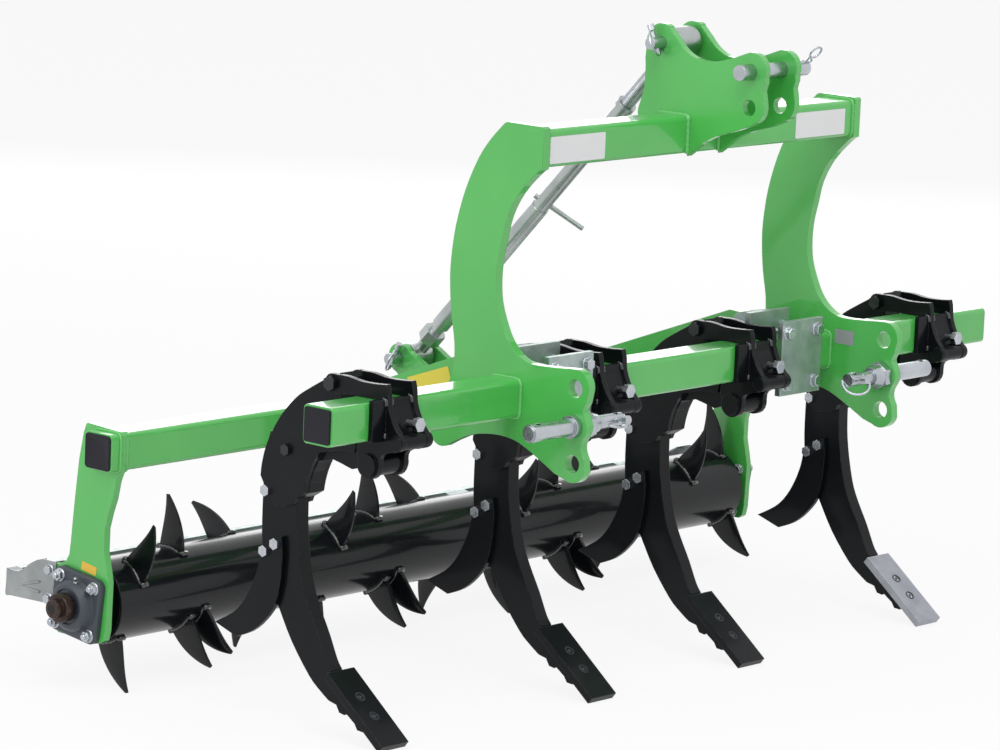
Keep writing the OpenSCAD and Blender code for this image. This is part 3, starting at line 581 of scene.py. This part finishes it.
# Rims and sockets of the chisels' countersunk bolts
for name, tines, rim in (("point_rims_dark", TINES[:3], iron), ("point_rims_light", TINES[3:], black)):
    bm = bmesh.new()
    slope = math.radians(38)
    for x in tines:
        for d in (57.8, 97.3):
            c = at(x, -23 + d * math.cos(slope), -471.54 + d * math.sin(slope))
            u, n = Vector((0, math.cos(slope), math.sin(slope))), Vector((0, -math.sin(slope), math.cos(slope)))
            for r, wire in ((0.0080, 0.00055), (0.0061, 0.0004)):
                tube_path(bm, [c + (u * math.cos(a) + Vector((1, 0, 0)) * math.sin(a)) * r + n * 0.0001 for a in (2 * math.pi * k / 28 for k in range(28))], wire, 6, closed=True)
            tube_path(bm, [c - n * 0.0008, c - n * 0.0003], 0.0029, 6)
    finish_mesh(name, bm, rim, "main_frame", 50)

# Ears of the turnbuckle's lug
bm = bmesh.new()
for x in (-33, 33):
    prism(bm, [(500, -54), (508, -47), (567, -14)] + arc(LUG_PIN[0], LUG_PIN[1], 25, 148, -72, 16) + [(526, -98), (526, -54)], x - 6, x + 6)
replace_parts(finish_mesh("lug_ears", bm, green, "roller_frame", 40), "turnbuckle_lug")

# Nuts of the galvanised beam plates and curved plates that close the brackets' throats
bm = bmesh.new()
for s in (-1, 1):
    for dx in (-38, 38):
        for z in (72, -14):
            hex_head(bm, (s * 292 + dx, -10, z), (0, -1, 0), 9.9, 9.5, 0.4 + dx * 0.01)
            hex_head(bm, (s * 292 + dx, 70, z), (0, 1, 0), 9.9, 9.5, 0.1)
finish_mesh("plate_nuts", bm, zinc, "main_frame", 30)
bm = bmesh.new()
throat = [(118, -41), (138, -45), (149, -60), (157.5, -76), (163.5, -95), (167, -111.5), (187, -124)]
for x in TINES:
    for a, b in zip(throat, throat[1:]):
        prism(bm, [a, b, (b[0] + 7, b[1] + 5), (a[0] + 7, a[1] + 5)], x - 12.4, x + 12.4)
finish_mesh("bracket_throats", bm, black, "main_frame", 40)
clamp_welds = []
for x in TINES:
    for dx in (-34.5, -21.5, 21.5):
        clamp_welds.append([(x + dx, -9, 53), (x + dx, -8, 62), (x + dx, -2, 66)])
        clamp_welds.append([(x + dx, -9, 4), (x + dx, -9, 13)])
weld_bead("clamp_welds", clamp_welds, weld_black, "main_frame", 3.6)


# Grease nipples on the bearings
bm = bmesh.new()
for s in (-1, 1):
    c = at(s * 823, AXLE[0] - 12, AXLE[1] + 36)
    d = Vector((s * 0.35, -0.25, 1)).normalized()
    tube_path(bm, [c, c + d * 0.006, c + d * 0.0062, c + d * 0.010, c + d * 0.0125, c + d * 0.014], 0.0034, 12, taper=[1, 1, 0.62, 0.62, 0.85, 0.5])
finish_mesh("grease_nipples", bm, zinc, "roller_frame")


# Screw thread of the turnbuckle
def thread(name, s0, s1, body, radius=11.2, pitch=3.0):
    bm = bmesh.new()
    a = at(0, *LINK_PIN)
    side = Vector((1, 0, 0))
    up = side.cross(TB_DIR)
    turns = (s1 - s0) / pitch
    steps = int(turns * 18)
    pts = [a + TB_DIR * (s0 + (s1 - s0) * k / steps) * 0.001 + (side * math.cos(2 * math.pi * turns * k / steps) + up * math.sin(2 * math.pi * turns * k / steps)) * radius * 0.001 for k in range(steps + 1)]
    tube_path(bm, pts, 0.0009, 5)
    return finish_mesh(name, bm, zinc, body, 80)


thread("thread_upper", 26, 151, "turnbuckle_body")

# Floor and backdrop
def looking_rays(tree):
    """1 for the rays that look at the background: the camera's, and those that metal and glass send on."""
    path = tree.nodes.new("ShaderNodeLightPath")
    total = path.outputs["Is Camera Ray"]
    for name in ("Is Glossy Ray", "Is Transmission Ray"):
        plus = tree.nodes.new("ShaderNodeMath")
        plus.operation = "ADD"
        plus.use_clamp = True
        tree.links.new(total, plus.inputs[0])
        tree.links.new(path.outputs[name], plus.inputs[1])
        total = plus.outputs[0]
    return total


bm = bmesh.new()
bmesh.ops.create_grid(bm, x_segments=1, y_segments=1, size=60)
me = bpy.data.meshes.new("floor")
bm.to_mesh(me)
bm.free()
floor = bpy.data.objects.new("floor", me)
bpy.context.scene.collection.objects.link(floor)
m, t, p = material("floor_white")
out = t.nodes["Material Output"]
p.inputs["Base Color"].default_value = (0.86, 0.86, 0.865, 1)
p.inputs["Roughness"].default_value = 0.9
p.inputs["Specular IOR Level"].default_value = 0.0
white = add(t, "ShaderNodeEmission", Color=(1, 1, 1, 1), Strength=1.0)
share = t.nodes.new("ShaderNodeMath")
share.operation = "MULTIPLY"
share.inputs[1].default_value = 0.87
mix = t.nodes.new("ShaderNodeMixShader")
t.links.new(looking_rays(t), share.inputs[0])
t.links.new(share.outputs[0], mix.inputs[0])
t.links.new(p.outputs[0], mix.inputs[1])
t.links.new(white.outputs[0], mix.inputs[2])
t.links.new(mix.outputs[0], out.inputs["Surface"])
me.materials.append(m)

# World
world = bpy.data.worlds.new("studio")
bpy.context.scene.world = world
world.use_nodes = True
wt = world.node_tree
wt.nodes.clear()
wout = wt.nodes.new("ShaderNodeOutputWorld")
plain = add(wt, "ShaderNodeBackground", Color=(1, 1, 1, 1), Strength=0.60)
seen = add(wt, "ShaderNodeBackground", Color=(1, 1, 1, 1), Strength=1.0)
mix = wt.nodes.new("ShaderNodeMixShader")
wt.links.new(looking_rays(wt), mix.inputs[0])
wt.links.new(plain.outputs[0], mix.inputs[1])
wt.links.new(seen.outputs[0], mix.inputs[2])
wt.links.new(mix.outputs[0], wout.inputs[0])


def lamp(name, where, look, size, power):
    d = bpy.data.lights.new(name, "AREA")
    d.shape = "RECTANGLE"
    d.size, d.size_y = size
    d.energy = power
    o = bpy.data.objects.new(name, d)
    o.location = where
    o.rotation_mode = "QUATERNION"
    o.rotation_quaternion = (Vector(look) - Vector(where)).to_track_quat("-Z", "Y")
    bpy.context.scene.collection.objects.link(o)


lamp("key", (-1.5, -2.5, 5.0), (0, 0, 0.4), (4.0, 3.0), 130)
lamp("left", (-5.0, 0.5, 2.5), (0, 0, 0.5), (3.0, 3.0), 70)
lamp("back", (4.4, 3.9, 1.9), (0, 0, 0.6), (5.0, 2.2), 75)

# Camera, at the photograph's viewpoint
az, el, roll = math.radians(-48.53), math.radians(10.01), math.radians(2.46)
fwd = Vector((-math.sin(az) * math.cos(el), math.cos(az) * math.cos(el), -math.sin(el)))
right0 = Vector((math.cos(az), math.sin(az), 0))
up0 = right0.cross(fwd)
right = math.cos(roll) * right0 + math.sin(roll) * up0
up = -math.sin(roll) * right0 + math.cos(roll) * up0
cam_data = bpy.data.cameras.new("camera")
cam_data.sensor_width = 36.0
cam_data.lens = 4716.0 * 36.0 / 1000.0
cam_data.clip_start, cam_data.clip_end = 0.1, 200.0
cam = bpy.data.objects.new("camera", cam_data)
cam.matrix_world = Matrix((
    (right.x, up.x, -fwd.x, 0), (right.y, up.y, -fwd.y, 0), (right.z, up.z, -fwd.z, 0), (0, 0, 0, 1)))
cam.location = at(-14.90033717 * 390, -12.15394796 * 390, 3.42666788 * 390)
bpy.context.scene.collection.objects.link(cam)
bpy.context.scene.camera = cam
bpy.context.scene.view_settings.view_transform = "Standard"

bpy.context.view_layer.update()
